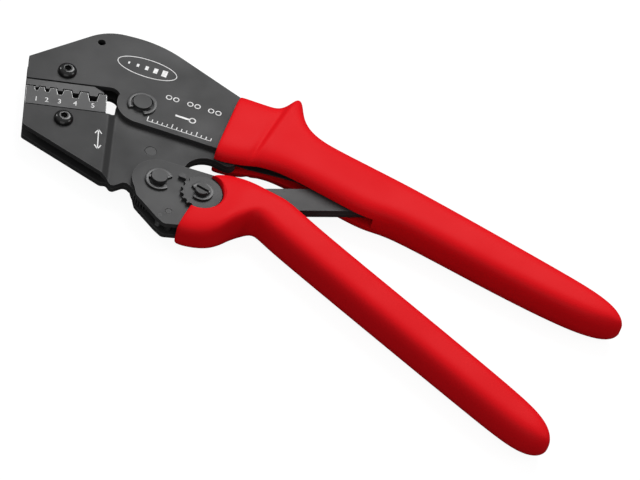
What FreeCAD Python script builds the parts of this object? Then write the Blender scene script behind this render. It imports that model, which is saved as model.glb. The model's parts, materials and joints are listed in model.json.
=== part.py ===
import FreeCAD, Part
import math
import os
import Sketcher

# Lever crimping tool with exchangeable dies.
# Construction frame: main pivot axis at the origin, +X along the fixed handle, +Y from the moving
# handle towards the fixed one, +Z through the plates, Z = 0 in the middle of the plate stack.
# Every node is then shifted so that the part's frame sits under the middle of its resting face.

V = FreeCAD.Vector

SIZES = {
    # plate stack
    "plate_thickness": 2.0,
    "plate_gap": 0.1,
    "running_fit": 0.05,
    "seat_clearance": 0.1,
    # fixed frame
    "frame_boss_radius": 9.8,
    "frame_edge_angle": 13.6,
    "frame_depth": 11.5,
    "hang_hole_diameter": 3.2,
    "sleeve_wall": 1.2,
    "spacer_diameter": 4.0,
    # jaw and dies: the jaw frame starts at the inner end of the lower seat
    "jaw_angle": 28.3,
    "seat_x": -8.8,
    "seat_y": -12.8,
    "die_length": 31.6,
    "die_stack": 14.1,
    "die_mouth": 0.8,
    "upper_seat_gap": 0.45,
    "upper_die_recess": 0.35,
    "lower_seat_gap": 0.4,
    "lower_die_height": 9.7,
    "jaw_depth": 10.7,
    "bend_start": 0.9,
    "bend_run": 2.7,
    "bend_angle": 25.8,
    "bend_radius": 1.8,
    "tang_depth": 9.4,
    "screw_offset": 5.6,
    "screw_from_nose": 15.4,
    "screw_diameter": 4.0,
    "screw_head_radius": 3.8,
    "screw_head_height": 2.2,
    "screw_socket": 2.5,
    "jaw_boss_radius": 8.8,
    "heel_boss_radius": 10.2,
    "tab_radius": 3.4,
    "jaw_rivet_radius": 2.4,
    # pivots
    "main_pin_radius": 3.75,
    "main_pin_proud": 1.0,
    "handle_pin_proud": 1.8,
    "wheel_pin_proud": 1.45,
    "head_radius": 5.2,
    "head_thickness": 1.3,
    "clip_thickness": 0.7,
    "clip_wall": 2.2,
    "groove_depth": 0.6,
    "handle_x": 25.1,
    "handle_y": -29.7,
    "handle_pin_radius": 3.25,
    "wheel_x": 42.0,
    "wheel_y": -26.6,
    "wheel_pin_radius": 2.7,
    "eccentric_radius": 3.2,
    "eccentric_throw": 0.25,
    "eccentric_clearance": 0.2,
    "wheel_radius": 8.1,
    "wheel_thickness": 1.6,
    "wheel_clearance": 0.9,
    "strap_x": 95.0,
    "strap_y": 13.0,
    "strap_pin_radius": 3.0,
    "strap_width": 11.0,
    "open_pivot_clearance": 0.6,
    # ratchet
    "ratchet_radius": 11.9,
    "tooth_height": 1.4,
    "pawl_x": 36.0,
    "pawl_y": -41.0,
    "pawl_pin_radius": 1.4,
    "pawl_radius": 2.5,
    "pawl_tip": 3.45,
    # handles
    "handle_boss_radius": 10.3,
    "handle_angle": -13.7,
    "handle_start_x": 70.0,
    "handle_start_y": -18.3,
    "tang_width": 10.0,
    "tang_setback": 18.0,
    "upper_grip_reach": 134.5,
    "lower_grip_reach": 138.0,
    "upper_grip_width": 18.6,
    "lower_grip_width": 16.0,
    "grip_thickness": 16.5,
    "upper_grip_edge": 1.2,
    "lower_grip_edge": 3.0,
    "slot_width": 5.0,
    # springs
    "spring_diameter": 3.6,
    "spring_wall": 0.7,
    # shift of the part's frame, worked out from the finished shapes
    "origin_x": 0.0,
    "origin_y": 0.0,
    "base_lift": 0.0,
}

doc = FreeCAD.newDocument("crimping_tool")
sheet = doc.addObject("Spreadsheet::Sheet", "Sizes")
for row, (alias, value) in enumerate(SIZES.items(), start=1):
    sheet.set(f"A{row}", alias)
    sheet.set(f"B{row}", str(value))
    sheet.setAlias(f"B{row}", alias)
doc.recompute()

NODES = []


def mm(alias):
    """A driving dimension, read back from the sheet."""
    return float(sheet.get(alias))


def place(obj, label, x=None, y=None, z="0", turn=0.0, keep=True):
    """Label an object, turn it about Z and bind its place to the sheet; keep makes it a node."""
    obj.Label = label
    obj.Placement = FreeCAD.Placement(V(0, 0, 0), FreeCAD.Rotation(V(0, 0, 1), turn))
    obj.setExpression(".Placement.Base.x", "Sizes.origin_x" + (f" + {x}" if x else ""))
    obj.setExpression(".Placement.Base.y", "Sizes.origin_y" + (f" + {y}" if y else ""))
    obj.setExpression(".Placement.Base.z", f"Sizes.base_lift + ({z})")
    if keep:
        NODES.append(obj)
    return obj


# ------------------------------------------------------------------ sketch and body helpers

def rounded(corners):
    """Edges of a closed outline from (x, y, corner radius) points."""
    points = [V(x, y, 0) for x, y, _ in corners]
    radii = [r for _, _, r in corners]
    count = len(points)
    starts, ends, middles = [], [], []
    for i in range(count):
        here = points[i]
        back = (points[i - 1] - here).normalize()
        ahead = (points[(i + 1) % count] - here).normalize()
        half = math.acos(max(-1.0, min(1.0, back.dot(ahead)))) / 2
        if radii[i] < 1e-6:
            starts.append(here)
            ends.append(here)
            middles.append(None)
            continue
        reach = radii[i] / math.tan(half)
        towards = (back + ahead).normalize()
        starts.append(here + back * reach)
        ends.append(here + ahead * reach)
        middles.append(here + towards * (radii[i] / math.sin(half) - radii[i]))
    edges = []
    for i in range(count):
        if middles[i] is not None:
            edges.append(Part.Arc(starts[i], middles[i], ends[i]))
        following = starts[(i + 1) % count]
        if ends[i].distanceToPoint(following) > 1e-6:
            edges.append(Part.LineSegment(ends[i], following))
    return edges


def attach(body, name, role="XY_Plane"):
    sketch = body.newObject("Sketcher::SketchObject", name)
    plane = next(f for f in body.Origin.OriginFeatures if f.Role == role)
    sketch.AttachmentSupport = [(plane, "")]
    sketch.MapMode = "FlatFace"
    return sketch


def new_body(name):
    return doc.addObject("PartDesign::Body", name)


def pad(body, edges, length, name="Blank", both_ways=False, reverse=False, role="XY_Plane"):
    """Pad an outline by an expression; both_ways spreads it about the sketch plane."""
    sketch = attach(body, name + "Sketch", role)
    for edge in edges:
        sketch.addGeometry(edge, False)
    feature = body.newObject("PartDesign::Pad", name)
    feature.Profile = sketch
    feature.setExpression("Length", length)
    feature.Midplane = both_ways
    feature.Reversed = reverse
    return feature


def cut(body, edges, name, length=None, role="XY_Plane"):
    """Pocket an outline about the sketch plane, through everything unless a length is given."""
    sketch = attach(body, name + "Sketch", role)
    for edge in edges:
        sketch.addGeometry(edge, False)
    feature = body.newObject("PartDesign::Pocket", name)
    feature.Profile = sketch
    feature.Midplane = True
    if length is None:
        feature.Type = 1
    else:
        feature.setExpression("Length", length)
    return feature


def circle_sketch(body, name, x, y, radius):
    """A sketch whose origin sits at (x, y), holding one circle; all three are expressions."""
    sketch = attach(body, name + "Sketch")
    sketch.setExpression("AttachmentOffset.Base.x", x)
    sketch.setExpression("AttachmentOffset.Base.y", y)
    sketch.addGeometry(Part.Circle(V(0, 0, 0), V(0, 0, 1), 1.0), False)
    sketch.addConstraint(Sketcher.Constraint("Coincident", 0, 3, -1, 1))
    sketch.addConstraint(Sketcher.Constraint("Radius", 0, 1.0))
    sketch.setExpression("Constraints[1]", radius)
    return sketch


def boss(body, name, x, y, radius, length, both_ways=False, reverse=False):
    feature = body.newObject("PartDesign::Pad", name)
    feature.Profile = circle_sketch(body, name, x, y, radius)
    feature.setExpression("Length", length)
    feature.Midplane = both_ways
    feature.Reversed = reverse
    return feature


def hole(body, name, x, y, radius):
    feature = body.newObject("PartDesign::Pocket", name)
    feature.Profile = circle_sketch(body, name, x, y, radius)
    feature.Type = 1
    feature.Midplane = True
    return feature


def cylinder(name, radius, height, bottom, x="0", y="0"):
    solid = doc.addObject("Part::Cylinder", name)
    solid.setExpression("Radius", radius)
    solid.setExpression("Height", height)
    solid.setExpression(".Placement.Base.x", x)
    solid.setExpression(".Placement.Base.y", y)
    solid.setExpression(".Placement.Base.z", bottom)
    return solid


def plain_rivet(label, radius, half_length, x, y):
    """A straight rivet or pin, flush with both faces it ends on."""
    shank = cylinder(label, radius, f"2 * {half_length}", "0")
    return place(shank, label, x, y, z=f"-1 * {half_length}")


def fused(name, solids):
    whole = doc.addObject("Part::MultiFuse", name)
    whole.Shapes = solids
    whole.Refine = True
    return whole


# ------------------------------------------------------------------ shared levels and points

THICK = "Sizes.plate_thickness"
OUTER = "(Sizes.plate_thickness + Sizes.plate_gap)"
FACE = "(2 * Sizes.plate_thickness + Sizes.plate_gap)"
O_AT = ("0", "0")
A_AT = ("Sizes.handle_x", "Sizes.handle_y")
B_AT = ("Sizes.wheel_x", "Sizes.wheel_y")
C_AT = ("Sizes.strap_x", "Sizes.strap_y")
P_AT = ("Sizes.pawl_x", "Sizes.pawl_y")

outer_level = mm("plate_thickness") + mm("plate_gap")
face_level = outer_level + mm("plate_thickness")
jaw_turn = math.radians(mm("jaw_angle"))
A = V(mm("handle_x"), mm("handle_y"), 0)
B = V(mm("wheel_x"), mm("wheel_y"), 0)
C = V(mm("strap_x"), mm("strap_y"), 0)
PAWL = V(mm("pawl_x"), mm("pawl_y"), 0)
SEAT = V(mm("seat_x"), mm("seat_y"), 0)
ALONG = V(math.cos(jaw_turn), math.sin(jaw_turn), 0)
ACROSS = V(-math.sin(jaw_turn), math.cos(jaw_turn), 0)
HANDLE_START = V(mm("handle_start_x"), mm("handle_start_y"), 0)
HANDLE_TURN = math.radians(mm("handle_angle"))
HANDLE_ALONG = V(math.cos(HANDLE_TURN), math.sin(HANDLE_TURN), 0)
HANDLE_ACROSS = V(-math.sin(HANDLE_TURN), math.cos(HANDLE_TURN), 0)


def jaw_point(along, height, radius=0.0):
    """A corner in the jaw frame: along the seat from its inner end, and above the lower seat."""
    at = SEAT + ALONG * along + ACROSS * height
    return (at.x, at.y, radius)


def handle_point(along, across, radius=0.0):
    """A corner in the moving handle's frame."""
    at = HANDLE_START + HANDLE_ALONG * along + HANDLE_ACROSS * across
    return (at.x, at.y, radius)


def on_circle(centre, radius, degrees, corner=0.0):
    angle = math.radians(degrees)
    return (centre.x + radius * math.cos(angle), centre.y + radius * math.sin(angle), corner)


upper_seat = mm("die_stack")
nose = -mm("die_length")
screw_along = nose + mm("screw_from_nose")
UPPER_SCREW = jaw_point(screw_along, upper_seat + mm("screw_offset"))
LOWER_SCREW = jaw_point(screw_along, -mm("screw_offset"))
HANG_HOLE = (-29.9, 19.0)
FRAME_SPACERS = [(30.6, 21.9), (62.0, 17.0), (126.0, 16.6), (174.0, 16.0)]
SPRING_POST = (47.0, 17.5)
HANDLE_SPACERS = [handle_point(8, 0)[:2], handle_point(50, 0)[:2], handle_point(104, 0)[:2]]
JAW_RIVET = (14.4, -17.2)
PAWL_SPRING_POST = (34.3, -44.6)


# ------------------------------------------------------------------ fixed frame

def frame_tang(margin):
    """The frame's part inside the grip, from its front edge round the end and back."""
    end = mm("handle_start_x") + mm("upper_grip_reach") - mm("tang_setback") + margin
    return [
        (48.0, 1.5 - margin, 0),
        (66.0, 7.6 - margin, 8),
        (104.0, 10.0 - margin, 8),
        (end, 11.8 - margin, 3),
        (end, 20.4 + margin, 3),
        (100.0, 23.2 + margin, 8),
        (38.0, 24.6 + margin, 4),
    ]


def frame_outline():
    slope = math.radians(mm("frame_edge_angle"))
    radius = mm("frame_boss_radius")
    tangent = (radius * math.sin(slope), -radius * math.cos(slope), 0)
    return [
        jaw_point(nose, upper_seat),
        jaw_point(5.0, upper_seat, 4.0),
        (-6.0, -7.0, 0),
        tangent,
        *frame_tang(0.0),
        (29.5, 27.6, 2),
        (-11.0, 33.1, 45),
        jaw_point(-1.3, 44.9, 20),
        jaw_point(nose, upper_seat + mm("frame_depth"), 0.6),
    ]


def frame_plate(label, level):
    body = new_body(label)
    pad(body, rounded(frame_outline()), THICK)
    boss(body, "PivotBoss", *O_AT, "Sizes.frame_boss_radius", THICK)
    hole(body, "PivotHole", *O_AT, "Sizes.main_pin_radius + Sizes.running_fit")
    hole(body, "StrapPinHole", *C_AT, "Sizes.strap_pin_radius")
    hole(body, "HangHole", f"{HANG_HOLE[0]}", f"{HANG_HOLE[1]}", "Sizes.hang_hole_diameter / 2")
    hole(body, "ScrewHole", f"{UPPER_SCREW[0]}", f"{UPPER_SCREW[1]}",
         "Sizes.screw_diameter / 2 + Sizes.running_fit")
    for i, (x, y) in enumerate(FRAME_SPACERS):
        hole(body, f"SpacerHole{i}", f"{x}", f"{y}", "Sizes.spacer_diameter / 2 - 0.5")
    hole(body, "SpringPostHole", *[f"{value}" for value in SPRING_POST], "Sizes.spacer_diameter / 4")
    return place(body, label, z=level)


frame_plate("front_frame_plate", OUTER)
frame_plate("rear_frame_plate", f"-{FACE}")


def spacer(name, x, y):
    """A shouldered rivet that holds two outer plates apart."""
    waist = cylinder(name + "Waist", "Sizes.spacer_diameter / 2", f"2 * {OUTER}", f"-{OUTER}",
                     f"{x}", f"{y}")
    shank = cylinder(name + "Shank", "Sizes.spacer_diameter / 2 - 0.5", f"2 * {FACE}",
                     f"-{FACE}", f"{x}", f"{y}")
    return [waist, shank]


def spacers(label, points):
    solids = []
    for i, (x, y) in enumerate(points):
        solids += spacer(f"{label}{i}", x, y)
    return place(fused(label, solids), label)


spacers("frame_spacers", FRAME_SPACERS)
sleeve = new_body("hang_hole_sleeve")
boss(sleeve, "Tube", *O_AT, "Sizes.hang_hole_diameter / 2 + Sizes.sleeve_wall", f"2 * {OUTER}")
hole(sleeve, "Bore", *O_AT, "Sizes.hang_hole_diameter / 2")
place(sleeve, "hang_hole_sleeve", f"{HANG_HOLE[0]}", f"{HANG_HOLE[1]}", z=f"-1 * {OUTER}")
plain_rivet("opening_spring_post", "Sizes.spacer_diameter / 4", FACE,
            f"{SPRING_POST[0]}", f"{SPRING_POST[1]}")


# ------------------------------------------------------------------ jaw: two bent plates

def jaw_outline():
    toe = mm("jaw_depth")
    return [
        jaw_point(nose, 0),
        jaw_point(nose, -toe, 1.6),
        (8.0, -40.0, 3),
        (11.4, -42.0, 1.6),
        (14.6, -36.6, 2.2),
        (19.4, -38.2, 0),
        A_INSIDE_LEFT,
        (29.1, -21.5, 0),
        (29.1, -5.9, 9.0),
        (44.2, -5.9, mm("tab_radius")),
        (44.2, -5.9 + 2.05 * mm("tab_radius"), mm("tab_radius")),
        (9.0, 3.5, 0),
        (-8.4, -3.2, 0),
        jaw_point(3.5, 0, 3.2),
    ]


A_INSIDE_LEFT = (A.x + 4.0, A.y - 4.0, 0)


def ratchet_teeth():
    """Saw teeth along the lower side of the heel, from its boss circle out to the tips."""
    tip = mm("ratchet_radius")
    root = tip - mm("tooth_height")
    first, last, count = -116.0, -50.0, 11
    step = (last - first) / count
    corners = [on_circle(A, root - 2.0, first - 2)]
    for i in range(count):
        start = first + i * step
        corners.append(on_circle(A, root, start))
        corners.append(on_circle(A, tip, start + 0.55 * step))
        corners.append(on_circle(A, tip, start + 0.85 * step))
    corners.append(on_circle(A, root, last))
    corners.append(on_circle(A, root - 2.0, last + 2))
    corners.append(on_circle(A, root - 4.0, (first + last) / 2))
    return corners


def bend_profile(side):
    """Section of the bent jaw along the seat: outer level at the dies, inner level at the pivot."""
    start = mm("bend_start")
    end = start + mm("bend_run")
    inner = side * mm("plate_thickness")
    low, high = side * outer_level, side * face_level
    far = 90.0
    return [
        (-far, low, 0),
        (start, low, mm("bend_radius")),
        (end, 0.0, mm("bend_radius")),
        (far, 0.0, 0),
        (far, inner, 0),
        (end + 0.3, inner, mm("bend_radius")),
        (start + 0.3, high, mm("bend_radius")),
        (-far, high, 0),
    ]


def jaw_plate(label, side):
    blank = new_body(label + "_blank")
    forward = side > 0
    pad(blank, rounded(jaw_outline()), FACE, reverse=not forward)
    boss(blank, "PivotBoss", *O_AT, "Sizes.jaw_boss_radius", FACE, reverse=not forward)
    boss(blank, "HeelBoss", *A_AT, "Sizes.heel_boss_radius", FACE, reverse=not forward)
    pad(blank, rounded(ratchet_teeth()), FACE, "Teeth", reverse=not forward)
    hole(blank, "PivotHole", *O_AT, "Sizes.main_pin_radius + Sizes.running_fit")
    hole(blank, "HandleHole", *A_AT, "Sizes.handle_pin_radius + Sizes.running_fit")
    hole(blank, "RivetHole", f"{JAW_RIVET[0]}", f"{JAW_RIVET[1]}", "Sizes.jaw_rivet_radius")
    hole(blank, "ScrewHole", f"{LOWER_SCREW[0]}", f"{LOWER_SCREW[1]}",
         "Sizes.screw_diameter / 2 + Sizes.running_fit")
    bend = new_body(label + "_bend")
    pad(bend, rounded(bend_profile(side)), "160", "Section", both_ways=True, role="XZ_Plane")
    bend.Placement = FreeCAD.Placement(SEAT, FreeCAD.Rotation(V(0, 0, 1), mm("bend_angle")))
    plate = doc.addObject("Part::Common", label)
    plate.Base = blank
    plate.Tool = bend
    return place(plate, label)


jaw_plate("front_jaw_plate", 1)
jaw_plate("rear_jaw_plate", -1)
plain_rivet("jaw_rivet", "Sizes.jaw_rivet_radius", THICK, f"{JAW_RIVET[0]}", f"{JAW_RIVET[1]}")


# ------------------------------------------------------------------ dies

# centre and width as shares of the die's length, then depth, from the nose inwards
NESTS = [(0.1329, 0.057, 1.9), (0.2627, 0.0696, 2.2), (0.4209, 0.0886, 2.9), (0.6139, 0.1108, 3.6),
         (0.8323, 0.1392, 4.2)]
NEST_FLOOR_SHARE = 0.6
TOOTH_SHARE = 0.45


def lower_die_profile():
    """Seat, inner end, then the lugs between the crimp nests back to the nose."""
    length = mm("die_length")
    top = mm("lower_die_height")
    seat = mm("lower_seat_gap")
    corners = [(-length, seat, 0), (0, seat, 0), (0, top, 0.5)]
    for centre, width, depth in reversed(NESTS):
        middle = (centre - 1) * length
        half = width * length / 2
        floor = half * NEST_FLOOR_SHARE
        corners += [(middle + half, top, 0.25), (middle + floor, top - depth, 0.2),
                    (middle - floor, top - depth, 0.2), (middle - half, top, 0.25)]
    corners.append((-length, top, 0.2))
    return corners


def upper_die_profile():
    """Mates with the lower die: a notch over each lug and a punch over each nest."""
    length = mm("die_length")
    top = mm("die_stack") - mm("upper_seat_gap")
    notch = mm("lower_die_height") + mm("die_mouth")
    corners = [(-length, top, 0), (-length, notch, 0.2)]
    for centre, width, depth in NESTS:
        middle = (centre - 1) * length
        half = width * length / 2 - 0.3
        floor = half * 0.8
        punch = notch - depth * TOOTH_SHARE
        corners += [(middle - half, notch, 0.15), (middle - floor, punch, 0.15),
                    (middle + floor, punch, 0.15), (middle + half, notch, 0.15)]
    corners += [(-1.2, notch, 0.3), (-1.2, notch + 0.6, 0.2), (-5.0, top, 0.4)]
    return corners


def die(label, profile, tang, recess):
    body = new_body(label)
    pad(body, rounded(profile), f"2 * ({FACE} - {recess})", "Working", both_ways=True)
    pad(body, rounded(tang), f"2 * ({OUTER} - Sizes.running_fit)", "Tang", both_ways=True)
    seat = 0.0 if label.startswith("lower") else mm("die_stack")
    offset = -mm("screw_offset") if label.startswith("lower") else mm("screw_offset")
    hole(body, "ScrewHole", f"{screw_along}", f"{seat + offset}",
         "Sizes.screw_diameter / 2 + Sizes.running_fit")
    return place(body, label, "Sizes.seat_x", "Sizes.seat_y", turn=mm("jaw_angle"))


def tang_outline(seat, reach):
    """The thin web that stands between the plates and takes the screw."""
    inner = mm("bend_start") - 2.4
    root = seat - math.copysign(1.0, reach)
    return [(nose + 2.0, root, 0), (nose + 2.0, seat + reach, 2), (inner, seat + reach, 2),
            (inner, root, 0)]


die("lower_die", lower_die_profile(), tang_outline(0.0, -mm("tang_depth")), "0")
die("upper_die", upper_die_profile(), tang_outline(mm("die_stack"), mm("tang_depth")),
    "Sizes.upper_die_recess")


def screw(label, at):
    """Button-head cap screw through both plates, with a hexagon socket."""
    body = new_body(label)
    shank = mm("screw_diameter") / 2
    head = mm("screw_head_radius")
    height = mm("screw_head_height")
    low = -face_level
    rim = face_level + 0.35
    crown = face_level + height
    flat = head * 0.5
    sketch = attach(body, "ProfileSketch", "XZ_Plane")
    mid = V(flat + (head - flat) * 0.72, rim + (crown - rim) * 0.66, 0)
    edges = [Part.LineSegment(V(0, low, 0), V(shank, low, 0)),
             Part.LineSegment(V(shank, low, 0), V(shank, face_level, 0)),
             Part.LineSegment(V(shank, face_level, 0), V(head, face_level, 0)),
             Part.LineSegment(V(head, face_level, 0), V(head, rim, 0)),
             Part.Arc(V(head, rim, 0), mid, V(flat, crown, 0)),
             Part.LineSegment(V(flat, crown, 0), V(0, crown, 0)),
             Part.LineSegment(V(0, crown, 0), V(0, low, 0))]
    for edge in edges:
        sketch.addGeometry(edge, False)
    spun = body.newObject("PartDesign::Revolution", "Turned")
    spun.Profile = sketch
    spun.ReferenceAxis = (sketch, ["V_Axis"])
    spun.Angle = 360.0
    across = mm("screw_socket") / math.sqrt(3)
    hexagon = [(across * math.cos(math.radians(60 * k)), across * math.sin(math.radians(60 * k)), 0)
               for k in range(6)]
    socket = attach(body, "SocketSketch")
    socket.AttachmentOffset = FreeCAD.Placement(V(0, 0, crown), FreeCAD.Rotation())
    for edge in rounded(hexagon):
        socket.addGeometry(edge, False)
    pocket = body.newObject("PartDesign::Pocket", "Socket")
    pocket.Profile = socket
    pocket.setExpression("Length", "Sizes.screw_head_height * 0.65")
    return place(body, label, f"{at[0]}", f"{at[1]}")


screw("upper_die_screw", UPPER_SCREW)
screw("lower_die_screw", LOWER_SCREW)


# ------------------------------------------------------------------ pins and retaining clips

def pin(label, at, radius, clip_level, proud):
    """A headed pin through the stack, with a groove for its retaining clip and a proud end."""
    groove = f"({radius} - Sizes.groove_depth)"
    solids = [
        cylinder(label + "Head", "Sizes.head_radius", "Sizes.head_thickness",
                 f"-{FACE} - Sizes.running_fit - Sizes.head_thickness"),
        cylinder(label + "Shaft", radius, f"2 * {FACE} + Sizes.running_fit + {clip_level}",
                 f"-{FACE} - Sizes.running_fit"),
        cylinder(label + "Groove", groove, "Sizes.clip_thickness + 0.2",
                 f"{FACE} + {clip_level}"),
        cylinder(label + "End", radius, proud,
                 f"{FACE} + {clip_level} + Sizes.clip_thickness + 0.1"),
    ]
    return place(fused(label, solids), label, *at)


def clip(label, at, radius, clip_level, turn):
    """An open retaining ring that grips the pin's groove."""
    body = new_body(label)
    grip = f"({radius} - Sizes.groove_depth)"
    boss(body, "Ring", *O_AT, f"{radius} + Sizes.clip_wall", "Sizes.clip_thickness")
    hole(body, "Bore", *O_AT, f"{grip} + Sizes.running_fit")
    half = 1.7
    mouth = [(-half, 0, 0), (half, 0, 0), (half, -20, 0), (-half, -20, 0)]
    cut(body, rounded(mouth), "Mouth")
    return place(body, label, *at, z=f"{FACE} + {clip_level} + 0.05", turn=turn)


PLAIN_LEVEL = "0.1"
WHEEL_LEVEL = "(Sizes.wheel_thickness + 0.25)"
pin("main_pivot_pin", (None, None), "Sizes.main_pin_radius", PLAIN_LEVEL, "Sizes.main_pin_proud")
clip("main_pivot_clip", (None, None), "Sizes.main_pin_radius", PLAIN_LEVEL, -20.0)
pin("handle_pivot_pin", A_AT, "Sizes.handle_pin_radius", PLAIN_LEVEL, "Sizes.handle_pin_proud")
clip("handle_pivot_clip", A_AT, "Sizes.handle_pin_radius", PLAIN_LEVEL, 115.0)
clip("eccentric_clip", B_AT, "Sizes.wheel_pin_radius", WHEEL_LEVEL, 170.0)

plain_rivet("strap_pin", "Sizes.strap_pin_radius", FACE, *C_AT)

eccentric_parts = [
    cylinder("EccentricHead", "Sizes.head_radius - 0.8", "Sizes.head_thickness",
             f"-{FACE} - Sizes.running_fit - Sizes.head_thickness"),
    cylinder("EccentricShaft", "Sizes.wheel_pin_radius",
             f"2 * {FACE} + Sizes.running_fit + {WHEEL_LEVEL}", f"-{FACE} - Sizes.running_fit"),
    cylinder("EccentricJournal", "Sizes.eccentric_radius",
             f"2 * ({OUTER} - Sizes.running_fit)", f"-({OUTER} - Sizes.running_fit)",
             "Sizes.eccentric_throw"),
    cylinder("EccentricGroove", "Sizes.wheel_pin_radius - Sizes.groove_depth",
             "Sizes.clip_thickness + 0.2", f"{FACE} + {WHEEL_LEVEL}"),
    cylinder("EccentricEnd", "Sizes.wheel_pin_radius", "Sizes.wheel_pin_proud",
             f"{FACE} + {WHEEL_LEVEL} + Sizes.clip_thickness + 0.1"),
]
eccentric = fused("EccentricBlank", eccentric_parts)
driver_slot = doc.addObject("Part::Box", "DriverSlot")
driver_slot.setExpression("Length", "4 * Sizes.wheel_pin_radius")
driver_slot.Width = 1.0
driver_slot.Height = 1.2
driver_slot.setExpression(".Placement.Base.x", "-2 * Sizes.wheel_pin_radius")
driver_slot.setExpression(".Placement.Base.y", "-0.5")
driver_slot.setExpression(".Placement.Base.z",
                          f"{FACE} + {WHEEL_LEVEL} + Sizes.clip_thickness + Sizes.wheel_pin_proud - 0.9")
eccentric_pin = doc.addObject("Part::Cut", "eccentric_pin")
eccentric_pin.Base = eccentric
eccentric_pin.Tool = driver_slot
place(eccentric_pin, "eccentric_pin", *B_AT)


# ------------------------------------------------------------------ adjusting wheel

wheel = new_body("adjusting_wheel")
boss(wheel, "Disc", *O_AT, "Sizes.wheel_radius", "Sizes.wheel_thickness")
hole(wheel, "Bore", *O_AT, "Sizes.wheel_pin_radius")
scallop = hole(wheel, "Scallop", "Sizes.wheel_radius + 0.15", "0", "1.15")
doc.recompute()
scallops = wheel.newObject("PartDesign::PolarPattern", "Scallops")
scallops.Originals = [scallop]
scallops.Axis = (wheel.Origin.OriginFeatures[2], [""])
scallops.Angle = 102.0
scallops.Occurrences = 6
wheel.Tip = scallops
place(wheel, "adjusting_wheel", *B_AT, z=f"{FACE} + 0.1", turn=163.0)

detent = new_body("wheel_detent")
pad(detent, rounded([(0, 0, 0.2), (-3.4, 1.5, 0.5), (-3.4, -1.5, 0.5)]), "Sizes.wheel_thickness")
DETENT_TURN = 163.0
DETENT = on_circle(B, mm("wheel_radius") + 0.25, DETENT_TURN)
place(detent, "wheel_detent", f"{DETENT[0]}", f"{DETENT[1]}", z=FACE, turn=DETENT_TURN - 180)


# ------------------------------------------------------------------ toggle strap

def strap_plate(label, level):
    body = new_body(label)
    width = mm("strap_width") / 2
    run = (C - B).normalize()
    side = V(-run.y, run.x, 0)
    corners = [B + side * width, B - side * width, C - side * width, C + side * width]
    pad(body, rounded([(p.x, p.y, 0) for p in corners]), THICK)
    boss(body, "WheelEnd", *B_AT, "Sizes.strap_width / 2", THICK)
    boss(body, "FrameEnd", *C_AT, "Sizes.strap_width / 2", THICK)
    hole(body, "EccentricHole", "Sizes.wheel_x + Sizes.eccentric_throw", "Sizes.wheel_y",
         "Sizes.eccentric_radius + Sizes.eccentric_clearance")
    hole(body, "FrameHole", *C_AT, "Sizes.strap_pin_radius + Sizes.open_pivot_clearance")
    return place(body, label, z=level)


strap_plate("front_strap_plate", "0")
strap_plate("rear_strap_plate", f"-{THICK}")


# ------------------------------------------------------------------ moving handle

def handle_tang(margin):
    """The handle's part inside its grip."""
    half = mm("tang_width") / 2 + margin
    end = mm("lower_grip_reach") - mm("tang_setback") + margin
    return [
        handle_point(0, -half, 10),
        handle_point(end, -half, 3),
        handle_point(end, half, 3),
        handle_point(0, half, 10),
        (60.0, -13.6 + margin, 4),
        (50.0, -13.2 + margin, 4),
    ]


def handle_outline():
    slope = 15.4
    return [
        on_circle(A, mm("handle_boss_radius"), 90 + slope),
        on_circle(A, mm("handle_boss_radius") - 1.0, 180),
        on_circle(A, mm("handle_boss_radius"), 235),
        (21.9, -41.3, 3),
        (33.6, -46.2, 3),
        (37.6, -47.4, 2.5),
        (44.0, -43.6, 3),
        (50.8, -36.6, 4),
        (56.0, -26.0, 4),
        *handle_tang(0.0),
        (42.0, -14.5, 5),
    ]


def handle_plate(label, level):
    body = new_body(label)
    pad(body, rounded(handle_outline()), THICK)
    boss(body, "PivotBoss", *A_AT, "Sizes.handle_boss_radius", THICK)
    hole(body, "PivotHole", *A_AT, "Sizes.handle_pin_radius + Sizes.running_fit")
    hole(body, "WheelHole", *B_AT, "Sizes.wheel_pin_radius + Sizes.running_fit")
    hole(body, "PawlHole", *P_AT, "Sizes.pawl_pin_radius")
    hole(body, "PostHole", f"{PAWL_SPRING_POST[0]}", f"{PAWL_SPRING_POST[1]}",
         "Sizes.pawl_pin_radius / 2")
    for i, (x, y) in enumerate(HANDLE_SPACERS):
        hole(body, f"SpacerHole{i}", f"{x}", f"{y}", "Sizes.spacer_diameter / 2 - 0.5")
    return place(body, label, z=level)


handle_plate("front_handle_plate", OUTER)
handle_plate("rear_handle_plate", f"-{FACE}")
spacers("handle_spacers", HANDLE_SPACERS)

plain_rivet("pawl_pin", "Sizes.pawl_pin_radius", FACE, *P_AT)
plain_rivet("pawl_spring_post", "Sizes.pawl_pin_radius / 2", FACE,
            f"{PAWL_SPRING_POST[0]}", f"{PAWL_SPRING_POST[1]}")


# ------------------------------------------------------------------ ratchet pawl and springs

def pawl_body():
    body = new_body("pawl")
    towards = math.degrees(math.atan2(A.y - PAWL.y, A.x - PAWL.x))
    origin = V(0, 0, 0)
    nib = [on_circle(origin, mm("pawl_tip"), towards, 0.2),
           on_circle(origin, mm("pawl_radius") * 0.98, towards + 55),
           on_circle(origin, 0.2, towards + 180),
           on_circle(origin, mm("pawl_radius") * 0.98, towards - 55)]
    tail_turn = towards + 172
    tail = [on_circle(origin, 5.2, tail_turn + 9, 0.6),
            on_circle(origin, 2.2, tail_turn + 80),
            on_circle(origin, 2.2, tail_turn - 80),
            on_circle(origin, 5.2, tail_turn - 9, 0.6)]
    web = "2 * (Sizes.plate_thickness - Sizes.plate_gap)"
    boss(body, "Hub", *O_AT, "Sizes.pawl_radius", web, both_ways=True)
    pad(body, rounded(nib), web, "Nib", both_ways=True)
    pad(body, rounded(tail), web, "Tail", both_ways=True)
    hole(body, "Bore", *O_AT, "Sizes.pawl_pin_radius + Sizes.running_fit")
    return place(body, "pawl", *P_AT)


pawl_body()

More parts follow.
